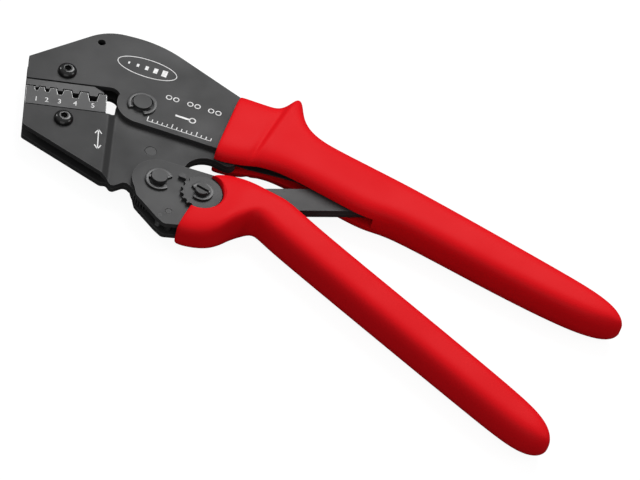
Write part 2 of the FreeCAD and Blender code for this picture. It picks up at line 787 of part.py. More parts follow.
leaf = new_body("pawl_spring")
pad(leaf, rounded([(0.75, -0.5, 0.1), (0.5, -0.9, 0.1), (2.1, -2.0, 0.2), (2.4, -1.6, 0.2)]),
    "1.2", both_ways=True)
place(leaf, "pawl_spring", f"{PAWL_SPRING_POST[0]}", f"{PAWL_SPRING_POST[1]}")

spring_start = V(42.2, 1.9, 0)
spring_end = V(SPRING_POST[0], SPRING_POST[1], 0)
spring_run = spring_end - spring_start
spring_length = spring_run.Length - mm("spacer_diameter") / 4 - 0.3
coil = doc.addObject("Part::Cylinder", "CoilEnvelope")
coil.setExpression("Radius", "Sizes.spring_diameter / 2")
coil.Height = spring_length
bore = doc.addObject("Part::Cylinder", "CoilBore")
bore.setExpression("Radius", "Sizes.spring_diameter / 2 - Sizes.spring_wall")
bore.Height = spring_length
opening_spring = doc.addObject("Part::Cut", "opening_spring")
opening_spring.Base = coil
opening_spring.Tool = bore
place(opening_spring, "opening_spring", f"{spring_start.x}", f"{spring_start.y}")
opening_spring.Placement = FreeCAD.Placement(V(0, 0, 0), FreeCAD.Rotation(V(0, 0, 1), spring_run))


# ------------------------------------------------------------------ grips

def smooth(points):
    curve = Part.BSplineCurve()
    curve.interpolate([V(x, y, 0) for x, y in points])
    return curve


def through(*runs):
    """A closed outline of smooth runs, each starting where the last one ended."""
    return [smooth(run) if len(run) > 2 else Part.LineSegment(V(*run[0], 0), V(*run[1], 0))
            for run in runs]


def grip(label, outline, edge_radius, pocket, slot):
    """A moulded sleeve: outer form, a pocket for the two plates and a slot for what moves."""
    body = new_body(label)
    pad(body, outline, "Sizes.grip_thickness", "Form", both_ways=True)
    doc.recompute()
    form = body.Tip
    rims = [f"Edge{i + 1}" for i, edge in enumerate(form.Shape.Edges)
            if edge.BoundBox.ZLength < 1e-4 and edge.Length > 10 * mm("grip_thickness")]
    soft = body.newObject("PartDesign::Fillet", "SoftEdges")
    soft.Base = (form, rims)
    soft.setExpression("Radius", edge_radius)
    cut(body, rounded(pocket), "PlatePocket", f"2 * ({FACE} + Sizes.seat_clearance)")
    cut(body, rounded(slot), "Slot", "Sizes.slot_width")
    return place(body, label)


def upper_grip():
    end = mm("handle_start_x") + mm("upper_grip_reach")
    half = mm("upper_grip_width") / 2
    mid = 16.5
    front = [(29.2, 28.2), (31.5, 17.0), (34.2, 3.0), (36.2, -6.4)]
    belly = [(36.2, -6.4), (44.0, -3.0), (52.0, 1.3), (62.0, 3.6), (80.0, 3.8), (98.0, 3.9),
             (107.0, mid - half - 0.4), (122.0, mid - half + 0.2), (152.0, mid - half + 0.2),
             (end - 14.0, mid - half + 1.4)]
    butt = [(end - 4.4, mid - 5.2), (end, mid + 0.2), (end - 4.4, mid + 5.4),
            (end - 14.0, mid + half - 1.6)]
    back = [(152.0, mid + half - 0.2), (112.0, mid + half + 1.2), (82.0, mid + half + 0.9),
            (67.0, mid + half + 0.6), (59.5, 28.4), (54.4, 32.6), (50.4, 39.0)]
    guard = [(48.9, 41.0), (47.0, 41.2), (46.0, 39.6), (44.6, 33.9), (41.5, 31.4), (35.0, 29.8),
             (29.2, 28.2)]
    pocket = [(20.0, -12.0, 0), (48.0, -12.0, 0), *frame_tang(mm("seat_clearance")),
              (29.5, 27.6 + mm("seat_clearance"), 0), (20.0, 29.0, 0)]
    slot = [(20.0, -12.0, 0), (101.5, -12.0, 0), (101.5, 19.0, 0), (20.0, 22.0, 0)]
    outline = through(front, belly + butt + back + guard)
    return grip("upper_grip", outline, "Sizes.upper_grip_edge", pocket, slot)


def lower_grip():
    reach = mm("lower_grip_reach")
    half = mm("lower_grip_width") / 2

    def at(along, across):
        return handle_point(along, across)[:2]

    lobe = [(41.4, -14.0), (44.4, -10.9), (50.0, -8.9), (60.0, -8.6), at(0, half + 0.6),
            at(14, half + 0.3), at(60, half), at(reach - 16, half - 0.4)]
    butt = [at(reach - 3.6, 4.8), at(reach, 0.0), at(reach - 3.2, -5.6),
            at(reach - 14, -half + 0.2)]
    belly = [at(60, -half + 0.2), at(5, -half + 0.4), at(-3, -half + 1.0), (61.8, -27.0),
             (59.4, -31.0), (58.0, -36.4), (54.6, -41.6), (49.0, -45.2), (44.0, -47.0)]
    toe = [(44.0, -47.0), (42.2, -44.6), (41.0, -40.6), (41.4, -36.0)]
    claw_root = (B.x + 3.8, B.y + 7.2)
    outline = through(lobe + butt + belly, toe, [toe[-1], claw_root], [claw_root, lobe[0]])
    pocket = [(36.0, -12.5, 0), (36.0, -49.0, 0), (42.5, -44.9, 0), (51.3, -36.4, 3),
              (56.4, -25.8, 4), *handle_tang(mm("seat_clearance"))]
    slot = [(36.0, -34.0, 0), (52.0, -34.0, 0), (54.0, -23.0, 0), (74.0, -16.5, 0),
            (80.0, -4.0, 0), (36.0, -4.0, 0)]
    body = grip("lower_grip", outline, "Sizes.lower_grip_edge", pocket, slot)
    hole(body, "WheelClearance", *B_AT, "Sizes.wheel_radius + Sizes.wheel_clearance")
    return body


upper_grip()
lower_grip()


# ------------------------------------------------------------------ checks, frame and files

def report_failures():
    failed = [o.Name for o in doc.Objects if {"Invalid", "Error"} & set(o.State)]
    for node in NODES:
        if node.Shape.isNull() or not node.Shape.isValid() or not node.Shape.Solids:
            failed.append(f"{node.Label} has no valid solid")
    if failed:
        raise RuntimeError("failed objects: " + ", ".join(failed))


def whole_box():
    box = FreeCAD.BoundBox()
    for node in NODES:
        box.add(node.Shape.optimalBoundingBox(False))
    return box


doc.recompute()
report_failures()
box = whole_box()
shift = {"origin_x": -box.Center.x, "origin_y": -box.Center.y, "base_lift": -box.ZMin}
for alias, value in shift.items():
    sheet.set(alias, f"{value:.4f}")
doc.recompute()
report_failures()

os.makedirs("parts", exist_ok=True)
for node in NODES:
    node.Shape.exportStep(f"parts/{node.Label}.step")

box = whole_box()
move = V(mm("origin_x"), mm("origin_y"), mm("base_lift"))
print(f"{len(NODES)} nodes, box {box.XLength:.2f} x {box.YLength:.2f} x {box.ZLength:.2f} mm")
print(f"plate faces at {face_level + move.z:.3f} and {move.z - face_level:.3f}")
for name, at in [("main pivot", V(0, 0, 0)), ("handle pivot", A), ("wheel", B), ("strap pin", C),
                 ("pawl", PAWL), ("hang hole", V(*HANG_HOLE, 0)),
                 ("journal", B + V(mm("eccentric_throw"), 0, 0))]:
    spot = at + move
    print(f"{name}: {spot.x:.3f}, {spot.y:.3f}, {spot.z:.3f}")
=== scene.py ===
# %% [markdown]
# # A ratcheting crimping tool
# This lesson dresses a finished CAD model of a crimping tool. The CAD gives every plate, pin and
# screw its exact place, so each piece made here goes where the CAD piece is and rides on the same
# body. We work in metres, with the tool lying flat: X runs along the fixed handle and Z goes up.

# %% Load the CAD frame
import json
import math

import bmesh
import bpy
from mathutils import Matrix, Vector


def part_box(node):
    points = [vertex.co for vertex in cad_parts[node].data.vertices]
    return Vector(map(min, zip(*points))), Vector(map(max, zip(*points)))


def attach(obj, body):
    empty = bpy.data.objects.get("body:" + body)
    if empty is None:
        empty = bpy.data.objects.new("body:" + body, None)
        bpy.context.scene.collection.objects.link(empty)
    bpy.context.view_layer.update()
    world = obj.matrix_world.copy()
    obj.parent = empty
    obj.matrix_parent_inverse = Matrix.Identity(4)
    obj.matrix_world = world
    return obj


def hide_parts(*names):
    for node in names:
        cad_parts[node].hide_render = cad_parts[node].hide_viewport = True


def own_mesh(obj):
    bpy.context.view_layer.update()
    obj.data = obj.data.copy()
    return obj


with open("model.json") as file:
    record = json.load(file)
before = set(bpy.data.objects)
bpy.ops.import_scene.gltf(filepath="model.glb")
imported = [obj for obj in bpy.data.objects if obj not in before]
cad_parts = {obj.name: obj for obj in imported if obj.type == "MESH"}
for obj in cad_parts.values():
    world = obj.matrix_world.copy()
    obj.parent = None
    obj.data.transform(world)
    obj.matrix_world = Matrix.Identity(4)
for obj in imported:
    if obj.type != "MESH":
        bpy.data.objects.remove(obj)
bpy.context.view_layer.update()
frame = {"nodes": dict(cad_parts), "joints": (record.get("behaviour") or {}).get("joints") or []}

# %% [markdown]
# Two helpers save repeating Blender's own steps. `added` puts an object in the scene, and
# `solid_mesh` turns a working object, with its modifiers or its bevel, into a plain mesh.


# %% Helpers for objects
def added(name, data):
    """An object with this data, linked to the scene."""
    thing = bpy.data.objects.new(name, data)
    bpy.context.scene.collection.objects.link(thing)
    return thing


def solid_mesh(holder):
    """The mesh that a working object shows; the object itself goes."""
    bpy.context.view_layer.update()
    mesh = bpy.data.meshes.new_from_object(
        holder.evaluated_get(bpy.context.evaluated_depsgraph_get()))
    bpy.data.objects.remove(holder)
    return mesh


print("two helpers ready")

# %% [markdown]
# ## Measuring from the main pivot
# A tool maker measures everything from the main pivot, so we do too. `at` takes millimetres from
# that pivot, with Z = 0 in the middle of the plates, and gives a point in the frame.

# %% Points in millimetres from the main pivot
MM = 0.001
pivots = {joint["name"]: Vector(joint["pos_m"]) for joint in frame["joints"]}
main_pivot = pivots["jaw_hinge"]


def at(x, y, z=0.0):
    """A point given in millimetres from the main pivot, at the plates' mid-plane."""
    return main_pivot + Vector((x, y, z)) * MM


handle_pivot = pivots["handle_hinge"]
wheel_pivot = pivots["eccentric_hinge"]
plate_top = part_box("front_frame_plate")[1].z
plate_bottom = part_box("rear_frame_plate")[0].z
print("plates from", round(plate_bottom / MM, 2), "to", round(plate_top / MM, 2), "mm up")

# %% [markdown]
# ## Camera, floor and light
# The tool is seen from above at an angle and slightly turned, from far enough away that its
# parallel edges stay nearly parallel. A long lens does that.

# %% Camera
AZIMUTH, ELEVATION, ROLL = (math.radians(a) for a in (15.5, 48.5, 16.5))
level_right = Vector((math.cos(AZIMUTH), math.sin(AZIMUTH), 0))
towards_camera = Vector((math.sin(AZIMUTH) * math.cos(ELEVATION),
                         -math.cos(AZIMUTH) * math.cos(ELEVATION), math.sin(ELEVATION)))
level_up = towards_camera.cross(level_right)
right = math.cos(ROLL) * level_right + math.sin(ROLL) * level_up
up = -math.sin(ROLL) * level_right + math.cos(ROLL) * level_up
OUTER_LEVEL = 5.8
SHIFT_RIGHT, SHIFT_DOWN, DISTANCE = 0.0693, 0.0541, 1.0
camera_place = (at(0, 0, OUTER_LEVEL) + right * SHIFT_RIGHT - up * SHIFT_DOWN
                + towards_camera * DISTANCE)

camera = added("camera", bpy.data.cameras.new("camera"))
camera.data.sensor_width = 36
camera.data.lens = 144
camera.data.clip_start = 0.05
turned = Matrix((right, up, towards_camera)).transposed().to_4x4()
camera.matrix_world = Matrix.Translation(camera_place) @ turned
bpy.context.scene.camera = camera
print("camera", [round(c, 3) for c in camera_place])

# %% [markdown]
# The tool lies on a white table. The table sends little light back up, so the sides keep their
# depth. Four square lamps light it: a strong one behind and above, two smaller ones at the left and
# right that draw the edges, and a wide weak one that fills the near sides.

# %% Floor, room light and lamps
bpy.context.scene.view_settings.view_transform = "Standard"

floor_cut = bmesh.new()
bmesh.ops.create_grid(floor_cut, x_segments=1, y_segments=1, size=3.0)
floor_mesh = bpy.data.meshes.new("floor")
floor_cut.to_mesh(floor_mesh)
floor_cut.free()
floor = added("floor", floor_mesh)

TABLE_GREY = (0.10, 0.10, 0.10, 1)
floor_paint = bpy.data.materials.new("table_white")
floor_paint.use_nodes = True
tree = floor_paint.node_tree
white = tree.nodes["Principled BSDF"]
white.inputs["Base Color"].default_value = TABLE_GREY
white.inputs["Roughness"].default_value = 0.9
white.inputs["Specular IOR Level"].default_value = 0.1
white.inputs["Emission Color"].default_value = (1, 1, 1, 1)
white.inputs["Emission Strength"].default_value = 0.93
grey = tree.nodes.new("ShaderNodeBsdfDiffuse")
grey.inputs["Color"].default_value = TABLE_GREY
seen = tree.nodes.new("ShaderNodeLightPath")
choose = tree.nodes.new("ShaderNodeMixShader")
tree.links.new(seen.outputs["Is Camera Ray"], choose.inputs[0])
tree.links.new(grey.outputs[0], choose.inputs[1])
tree.links.new(white.outputs[0], choose.inputs[2])
tree.links.new(choose.outputs[0], tree.nodes["Material Output"].inputs["Surface"])
floor.data.materials.append(floor_paint)

room = bpy.data.worlds.new("room")
room.use_nodes = True
sky = room.node_tree.nodes["Background"]
sky.inputs["Strength"].default_value = 1.0
direction = room.node_tree.nodes.new("ShaderNodeTexCoord")
split = room.node_tree.nodes.new("ShaderNodeSeparateXYZ")
height = room.node_tree.nodes.new("ShaderNodeMapRange")
height.inputs["From Min"].default_value = 0.05
height.inputs["From Max"].default_value = 0.95
height.inputs["To Min"].default_value = 0.08
height.inputs["To Max"].default_value = 0.70
room.node_tree.links.new(direction.outputs["Generated"], split.inputs[0])
room.node_tree.links.new(split.outputs["Z"], height.inputs["Value"])
room.node_tree.links.new(height.outputs["Result"], sky.inputs["Color"])
bpy.context.scene.world = room


def soft_lamp(name, place, size, power, aim):
    """A square lamp that looks at a point."""
    lamp = added(name, bpy.data.lights.new(name, "AREA"))
    lamp.data.shape = "SQUARE"
    lamp.data.size = size
    lamp.data.energy = power
    lamp.location = place
    lamp.rotation_euler = (Vector(aim) - Vector(place)).to_track_quat("-Z", "Y").to_euler()


soft_lamp("overhead", (-0.10, 0.62, 0.80), 0.55, 8.0, (0, 0, 0))
soft_lamp("left_edge", (-0.9, 0.15, 0.45), 0.25, 1.5, (-0.05, 0, 0))
soft_lamp("right_edge", (0.75, 0.25, 0.55), 0.45, 1.6, (-0.05, 0, 0))
soft_lamp("front_fill", (0.15, -0.80, 0.30), 0.8, 1.8, (0, 0, 0))

# %% [markdown]
# ## Shared surface effects
# Real surfaces vary. Three small node groups carry the variation: `fine_grain` for the tiny pits
# that blasting or moulding leaves, `handling` for the broad uneven gloss of a handled thing, and a
# third group for the thin bright line on edges: partly where a coating has rubbed through, partly a
# painted highlight.


# %% Node group: fine grain
def socket_group(name, inputs, outputs):
    """An empty shader group with named number inputs and named outputs."""
    group = bpy.data.node_groups.new(name, "ShaderNodeTree")
    for label, value in inputs:
        slot = group.interface.new_socket(label, in_out="INPUT", socket_type="NodeSocketFloat")
        slot.default_value = value
    for label in outputs:
        group.interface.new_socket(label, in_out="OUTPUT", socket_type="NodeSocketFloat")
    entry = group.nodes.new("NodeGroupInput")
    result = group.nodes.new("NodeGroupOutput")
    return group, entry, result


def noise_in(group, size_socket, detail):
    """Noise on object coordinates whose scale comes from a group input."""
    where = group.nodes.new("ShaderNodeTexCoord")
    noise = group.nodes.new("ShaderNodeTexNoise")
    noise.inputs["Detail"].default_value = detail
    group.links.new(where.outputs["Object"], noise.inputs["Vector"])
    group.links.new(size_socket, noise.inputs["Scale"])
    return noise


fine_grain, grain_in, grain_out = socket_group("fine_grain", [("Scale", 2500.0)], ["Height"])
pits = noise_in(fine_grain, grain_in.outputs["Scale"], 4.0)
fine_grain.links.new(pits.outputs["Fac"], grain_out.inputs["Height"])
print("group", fine_grain.name)


# %% Node group: handling marks
handling, hand_in, hand_out = socket_group("handling", [("Scale", 60.0)], ["Patches"])
patches = noise_in(handling, hand_in.outputs["Scale"], 5.0)
spread = handling.nodes.new("ShaderNodeMapRange")
spread.inputs["From Min"].default_value = 0.35
spread.inputs["From Max"].default_value = 0.68
handling.links.new(patches.outputs["Fac"], spread.inputs["Value"])
handling.links.new(spread.outputs["Result"], hand_out.inputs["Patches"])
print("group", handling.name)

# %% [markdown]
# An edge shows itself where the rounded normal of the Bevel node leaves the true one. There the
# mask paints a lighter colour, partly as real wear and partly as a painted highlight. It is broken
# up with noise, because nothing wears evenly.

# %% Node group: edge wear and painted edge highlight
edge_wear_and_highlight, wear_light_in, wear_light_out = socket_group(
    "edge_wear_and_highlight", [("Width", 0.0003), ("Scale", 400.0), ("Amount", 0.5)], ["Mask"])
# The mask marks sharp edges for a lighter colour: partly real wear, partly a painted highlight.
rounded = edge_wear_and_highlight.nodes.new("ShaderNodeBevel")
rounded.samples = 4
true_normal = edge_wear_and_highlight.nodes.new("ShaderNodeNewGeometry")
facing = edge_wear_and_highlight.nodes.new("ShaderNodeVectorMath")
facing.operation = "DOT_PRODUCT"
edge = edge_wear_and_highlight.nodes.new("ShaderNodeMapRange")
edge.inputs["From Min"].default_value = 0.995
edge.inputs["From Max"].default_value = 0.90
broken = noise_in(edge_wear_and_highlight, wear_light_in.outputs["Scale"], 3.0)
rough_edge = edge_wear_and_highlight.nodes.new("ShaderNodeMath")
rough_edge.operation = "MULTIPLY"
scaled = edge_wear_and_highlight.nodes.new("ShaderNodeMath")
scaled.operation = "MULTIPLY"
scaled.use_clamp = True
edge_wear_and_highlight.links.new(wear_light_in.outputs["Width"], rounded.inputs["Radius"])
edge_wear_and_highlight.links.new(rounded.outputs["Normal"], facing.inputs[0])
edge_wear_and_highlight.links.new(true_normal.outputs["Normal"], facing.inputs[1])
edge_wear_and_highlight.links.new(facing.outputs["Value"], edge.inputs["Value"])
edge_wear_and_highlight.links.new(edge.outputs["Result"], rough_edge.inputs[0])
edge_wear_and_highlight.links.new(broken.outputs["Fac"], rough_edge.inputs[1])
edge_wear_and_highlight.links.new(rough_edge.outputs["Value"], scaled.inputs[0])
edge_wear_and_highlight.links.new(wear_light_in.outputs["Amount"], scaled.inputs[1])
edge_wear_and_highlight.links.new(scaled.outputs["Value"], wear_light_out.inputs["Mask"])
print("group", edge_wear_and_highlight.name)

# %% [markdown]
# ## The finishes
# All the tool's finishes share one plan: a base colour with slow variation, a roughness that
# follows the handling marks, edges in a second, lighter colour that is partly wear and partly a
# painted highlight, and a fine bump. Only the numbers differ.


# %% A finish from the shared groups
def finish(name, colour, worn_and_lit, metal, rough, grain_scale, grain_depth, wear_and_highlight, patch_scale=60.0,
           patch_depth=0.12, specular=0.5):
    """A material: colour, edge colour for wear and painted highlight, metalness, a roughness pair
    and the grain.
    """
    material = bpy.data.materials.new(name)
    material.use_nodes = True
    nodes, links = material.node_tree.nodes, material.node_tree.links
    shader = nodes["Principled BSDF"]
    shader.inputs["Metallic"].default_value = metal
    shader.inputs["Specular IOR Level"].default_value = specular

    marks = nodes.new("ShaderNodeGroup")
    marks.node_tree = handling
    marks.inputs["Scale"].default_value = patch_scale
    tint = nodes.new("ShaderNodeMix")
    tint.data_type = "RGBA"
    tint.inputs["A"].default_value = (*colour, 1)
    tint.inputs["B"].default_value = (*[c * (1 - patch_depth) for c in colour], 1)
    links.new(marks.outputs["Patches"], tint.inputs["Factor"])

    rubbed_and_lit = nodes.new("ShaderNodeGroup")
    rubbed_and_lit.node_tree = edge_wear_and_highlight
    rubbed_and_lit.inputs["Amount"].default_value = wear_and_highlight
    # Mix in the lighter edge colour: worn coating and a painted edge highlight.
    blend = nodes.new("ShaderNodeMix")
    blend.data_type = "RGBA"
    blend.inputs["B"].default_value = (*worn_and_lit, 1)
    links.new(tint.outputs["Result"], blend.inputs["A"])
    links.new(rubbed_and_lit.outputs["Mask"], blend.inputs["Factor"])
    links.new(blend.outputs["Result"], shader.inputs["Base Color"])

    gloss = nodes.new("ShaderNodeMapRange")
    gloss.inputs["To Min"].default_value = rough[0]
    gloss.inputs["To Max"].default_value = rough[1]
    links.new(marks.outputs["Patches"], gloss.inputs["Value"])
    links.new(gloss.outputs["Result"], shader.inputs["Roughness"])

    grain = nodes.new("ShaderNodeGroup")
    grain.node_tree = fine_grain
    grain.inputs["Scale"].default_value = grain_scale
    bump = nodes.new("ShaderNodeBump")
    bump.inputs["Strength"].default_value = 1.0
    bump.inputs["Distance"].default_value = grain_depth
    links.new(grain.outputs["Height"], bump.inputs["Height"])
    links.new(bump.outputs["Normal"], shader.inputs["Normal"])
    return material


# Each finish's second colour is its lighter edge colour: real wear and a painted edge highlight.
blued_plate = finish("blued_plate", (0.029, 0.0291, 0.0296), (0.19, 0.19, 0.192), 0.15,
                     (0.44, 0.56), 2600.0, 0.000012, 0.6, specular=0.25)
# The jaw plates take a slightly darker copy of the plate steel: painted shade towards the nose.
shaded_jaw_steel = finish("shaded_jaw_steel", (0.027, 0.0271, 0.0276), (0.19, 0.19, 0.192), 0.15, (0.44, 0.56),
                   2400.0, 0.000012, 0.6, specular=0.22)
die_steel = finish("die_steel", (0.032, 0.0322, 0.0328), (0.20, 0.20, 0.205), 0.3, (0.36, 0.46),
                   1800.0, 0.000010, 0.3, specular=0.45)
# Bare ground steel for the lower die's crest; its brightness is partly a painted highlight.
ground_steel_highlight = finish("ground_steel_highlight", (0.55, 0.55, 0.55), (0.75, 0.75, 0.75), 0.7, (0.30, 0.42),
                      1800.0, 0.000008, 0.4)
pin_steel = finish("pin_steel", (0.024, 0.0241, 0.0246), (0.17, 0.17, 0.172), 0.2, (0.38, 0.48),
                   2200.0, 0.000012, 0.75, specular=0.25)
clip_steel = finish("clip_steel", (0.020, 0.0201, 0.0206), (0.15, 0.15, 0.152), 0.3, (0.34, 0.44),
                    2200.0, 0.000010, 0.6)
# Black oxide for the die screws; the same near-black also paints the shade in the hang hole.
black_oxide = finish("black_oxide", (0.006, 0.006, 0.0062), (0.06, 0.06, 0.062), 0.2, (0.12, 0.20),
                     1500.0, 0.000006, 0.35)
spring_wire = finish("spring_wire", (0.10, 0.10, 0.102), (0.25, 0.25, 0.252), 0.8, (0.28, 0.38),
                     1500.0, 0.000006, 0.2)
red_grip = finish("red_grip", (0.59, 0.004, 0.0075), (0.70, 0.03, 0.03), 0.0, (0.42, 0.54),
                  1400.0, 0.000030, 0.12, patch_scale=25.0, patch_depth=0.04, specular=0.05)
white_print = finish("white_print", (0.72, 0.72, 0.72), (0.40, 0.40, 0.40), 0.0, (0.5, 0.7),
                     1800.0, 0.000006, 0.2, patch_scale=900.0, patch_depth=0.25, specular=0.3)
print("finishes:", [m.name for m in bpy.data.materials])

# %% [markdown]
# ## Plates, pins and screws with broken edges
# Stamped plates and turned pins never have knife edges: they are tumbled or deburred, and that thin
# rounded edge is what catches the light. We copy each CAD mesh, join its loose triangles, dissolve
# the flat ones into whole faces and bevel every sharp edge, by 0.08 to 0.42 mm.


# %% Break the edges of a CAD piece
def object_from(shape, name, material, body, cad_nodes=(), sharp_degrees=32):
    """Turns a finished bmesh into a piece that rides on a body and stands for CAD nodes."""
    for face in shape.faces:
        face.smooth = True
    mesh = bpy.data.meshes.new(name)
    shape.to_mesh(mesh)
    shape.free()
    mesh.set_sharp_from_angle(angle=math.radians(sharp_degrees))
    mesh.materials.append(material)
    piece = added(name, mesh)
    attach(piece, body)
    if cad_nodes:
        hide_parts(*cad_nodes)
    return piece


def round_edges(shape, sharper_than, width):
    """Bevels the edges that turn more than some degrees, by width in millimetres."""
    sharp = [e for e in shape.edges
             if len(e.link_faces) == 2 and e.calc_face_angle() > math.radians(sharper_than)]
    bmesh.ops.bevel(shape, geom=sharp, offset=width * MM, offset_type="OFFSET", affect="EDGES",
                    segments=2, profile=0.5, material=-1, clamp_overlap=True)


WELD, FLAT_WITHIN, SHARP_EDGE = 0.002, 0.6, 28


def broken_edges(node, body, material, width):
    """A copy of a CAD node whose sharp edges are rounded by width, in millimetres."""
    shape = bmesh.new()
    shape.from_mesh(frame["nodes"][node].data)
    bmesh.ops.remove_doubles(shape, verts=shape.verts, dist=WELD * MM)
    bmesh.ops.dissolve_limit(shape, angle_limit=math.radians(FLAT_WITHIN), verts=shape.verts,
                             edges=shape.edges, use_dissolve_boundaries=False)
    round_edges(shape, SHARP_EDGE, width)
    piece = object_from(shape, node + "_finished", material, body, [node])
    weighted = piece.modifiers.new("even_shading", "WEIGHTED_NORMAL")
    weighted.keep_sharp = True
    return piece


hard_pieces = [
    ("front_frame_plate", "frame", blued_plate, "dark_steel", 0.25),
    ("rear_frame_plate", "frame", blued_plate, "dark_steel", 0.25),
    ("front_jaw_plate", "jaw", shaded_jaw_steel, "dark_steel", 0.20),
    ("rear_jaw_plate", "jaw", shaded_jaw_steel, "dark_steel", 0.20),
    ("front_handle_plate", "handle", blued_plate, "dark_steel", 0.30),
    ("rear_handle_plate", "handle", blued_plate, "dark_steel", 0.30),
    ("front_strap_plate", "strap", blued_plate, "dark_steel", 0.20),
    ("rear_strap_plate", "strap", blued_plate, "dark_steel", 0.20),
    ("upper_die", "frame", die_steel, "die_steel", 0.10),
    ("lower_die", "jaw", die_steel, "die_steel", 0.16),
    ("upper_die_screw", "frame", black_oxide, "black_oxide", 0.12),
    ("lower_die_screw", "jaw", black_oxide, "black_oxide", 0.12),
    ("main_pivot_pin", "frame", pin_steel, "dark_steel", 0.35),
    ("handle_pivot_pin", "handle", pin_steel, "dark_steel", 0.35),
    ("eccentric_pin", "eccentric", pin_steel, "dark_steel", 0.15),
    ("adjusting_wheel", "eccentric", pin_steel, "dark_steel", 0.18),
    ("wheel_detent", "handle", pin_steel, "dark_steel", 0.12),
    ("jaw_rivet", "jaw", pin_steel, "dark_steel", 0.42),
    ("pawl_pin", "handle", pin_steel, "dark_steel", 0.34),
    ("pawl_spring_post", "handle", pin_steel, "dark_steel", 0.08),
    ("opening_spring_post", "frame", pin_steel, "dark_steel", 0.10),
    # The hang-hole sleeve is made near-black to paint the shade inside the hang hole.
    ("hang_hole_sleeve", "frame", black_oxide, "dark_steel", 0.10),
    ("frame_spacers", "frame", pin_steel, "dark_steel", 0.30),
    ("handle_spacers", "handle", pin_steel, "dark_steel", 0.12),
    ("strap_pin", "frame", pin_steel, "dark_steel", 0.15),
    ("pawl", "pawl", die_steel, "die_steel", 0.08),
]
steel = {node: broken_edges(node, body, material, width)
         for node, body, material, slot, width in hard_pieces}
print(len(steel), "steel pieces with broken edges")

# %% [markdown]
# The lower die is ground after it is blacked, which leaves its crest a thin bright line, and that
# bright line is also a painted highlight. The bevel made a row of small faces there, so we give
# those that lean towards the upper die a bare finish, which paints the highlight.

# %% Bright crest of the lower die, partly a painted highlight
JAW_TURN = math.radians(28.3)
jaw_along = Vector((math.cos(JAW_TURN), math.sin(JAW_TURN)))
jaw_across = Vector((-jaw_along.y, jaw_along.x))
seat = Vector((-8.8, -12.8))
CREST_FROM = 4.0
LEAST_LEAN, MOST_LEAN = 0.2, 0.98
TURNED_AWAY = -0.15
crest_mesh = steel["lower_die"].data
# These crest faces get the bright steel: partly real grinding, partly a painted highlight.
crest_mesh.materials.append(ground_steel_highlight)
for face in crest_mesh.polygons:
    flat = Vector(face.normal[:2])
    above_seat = (Vector((face.center - main_pivot)[:2]) / MM - seat).dot(jaw_across)
    leans = LEAST_LEAN < abs(face.normal.z) < MOST_LEAN and flat.dot(jaw_across) > TURNED_AWAY
    if leans and above_seat > CREST_FROM and face.center.z > main_pivot.z:
        face.material_index = 1
print("crest faces:", sum(face.material_index for face in crest_mesh.polygons))

# %% [markdown]
# ## Retaining clips
# The clip that holds a pin is a stamped E-shaped ring: an open band with three lugs that reach into
# the pin's groove. We spin a small rectangle most of the way round for the band, and add the lugs.


# %% Retaining clips
BAND, HALF_MOUTH, CLIP_STEPS = 1.35, 34, 44
LUG_WIDTH, LUG_OVERLAP, LUG_INSIDE, LUG_THIN = 1.5, 0.5, 7, 0.96
CLIP_EDGE, CLIP_SHARP = 0.09, 40


def retaining_clip(node, body, centre, groove, outer, low, thick, mouth_turn):
    """An open ring with three lugs; sizes in millimetres, the mouth faces mouth_turn degrees."""
    shape = bmesh.new()
    inner = outer - BAND
    corners = [shape.verts.new((r, 0, z)) for r, z in
               ((inner, low), (outer, low), (outer, low + thick), (inner, low + thick))]
    profile = shape.faces.new(corners)
    bmesh.ops.rotate(shape, verts=shape.verts, cent=(0, 0, 0),
                     matrix=Matrix.Rotation(math.radians(mouth_turn + HALF_MOUTH), 3, "Z"))
    bmesh.ops.spin(shape, geom=[profile, *profile.edges, *profile.verts], cent=(0, 0, 0),
                   axis=(0, 0, 1), angle=math.radians(360 - 2 * HALF_MOUTH), steps=CLIP_STEPS)
    for turn in (mouth_turn + HALF_MOUTH + LUG_INSIDE, mouth_turn + 180,
                 mouth_turn - HALF_MOUTH - LUG_INSIDE):
        lug = bmesh.ops.create_cube(shape, size=1.0)["verts"]
        bmesh.ops.scale(shape, verts=lug,
                        vec=(inner - groove + LUG_OVERLAP, LUG_WIDTH, thick * LUG_THIN))
        bmesh.ops.translate(shape, verts=lug,
                            vec=((inner + groove) / 2 + LUG_OVERLAP / 2, 0, low + thick / 2))
        bmesh.ops.rotate(shape, verts=lug, cent=(0, 0, 0),
                         matrix=Matrix.Rotation(math.radians(turn), 3, "Z"))
    bmesh.ops.scale(shape, verts=shape.verts, vec=(MM, MM, MM))
    bmesh.ops.translate(shape, verts=shape.verts, vec=(centre.x, centre.y, 0))
    bmesh.ops.recalc_face_normals(shape, faces=shape.faces)
    round_edges(shape, CLIP_SHARP, CLIP_EDGE)
    return object_from(shape, node + "_ring", clip_steel, body, [node])


for node, body, centre, groove, outer, mouth_turn in (
        ("main_pivot_clip", "frame", main_pivot, 3.25, 5.8, -87.0),
        ("handle_pivot_clip", "handle", handle_pivot, 2.75, 5.4, 12.0),
        ("eccentric_clip", "eccentric", wheel_pivot, 2.2, 4.5, -146.0)):
    low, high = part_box(node)
    retaining_clip(node, body, centre, groove, outer, low.z / MM, (high.z - low.z) / MM,
                   mouth_turn)
print("three retaining clips")

# %% [markdown]
# ## Springs
# The opening spring hooks on the jaw's tab and pulls it towards the frame. A coil is a circle
# carried along a helix; a curve with a round bevel makes it, then becomes a mesh.


# %% Coil springs
POINTS_PER_TURN = 16


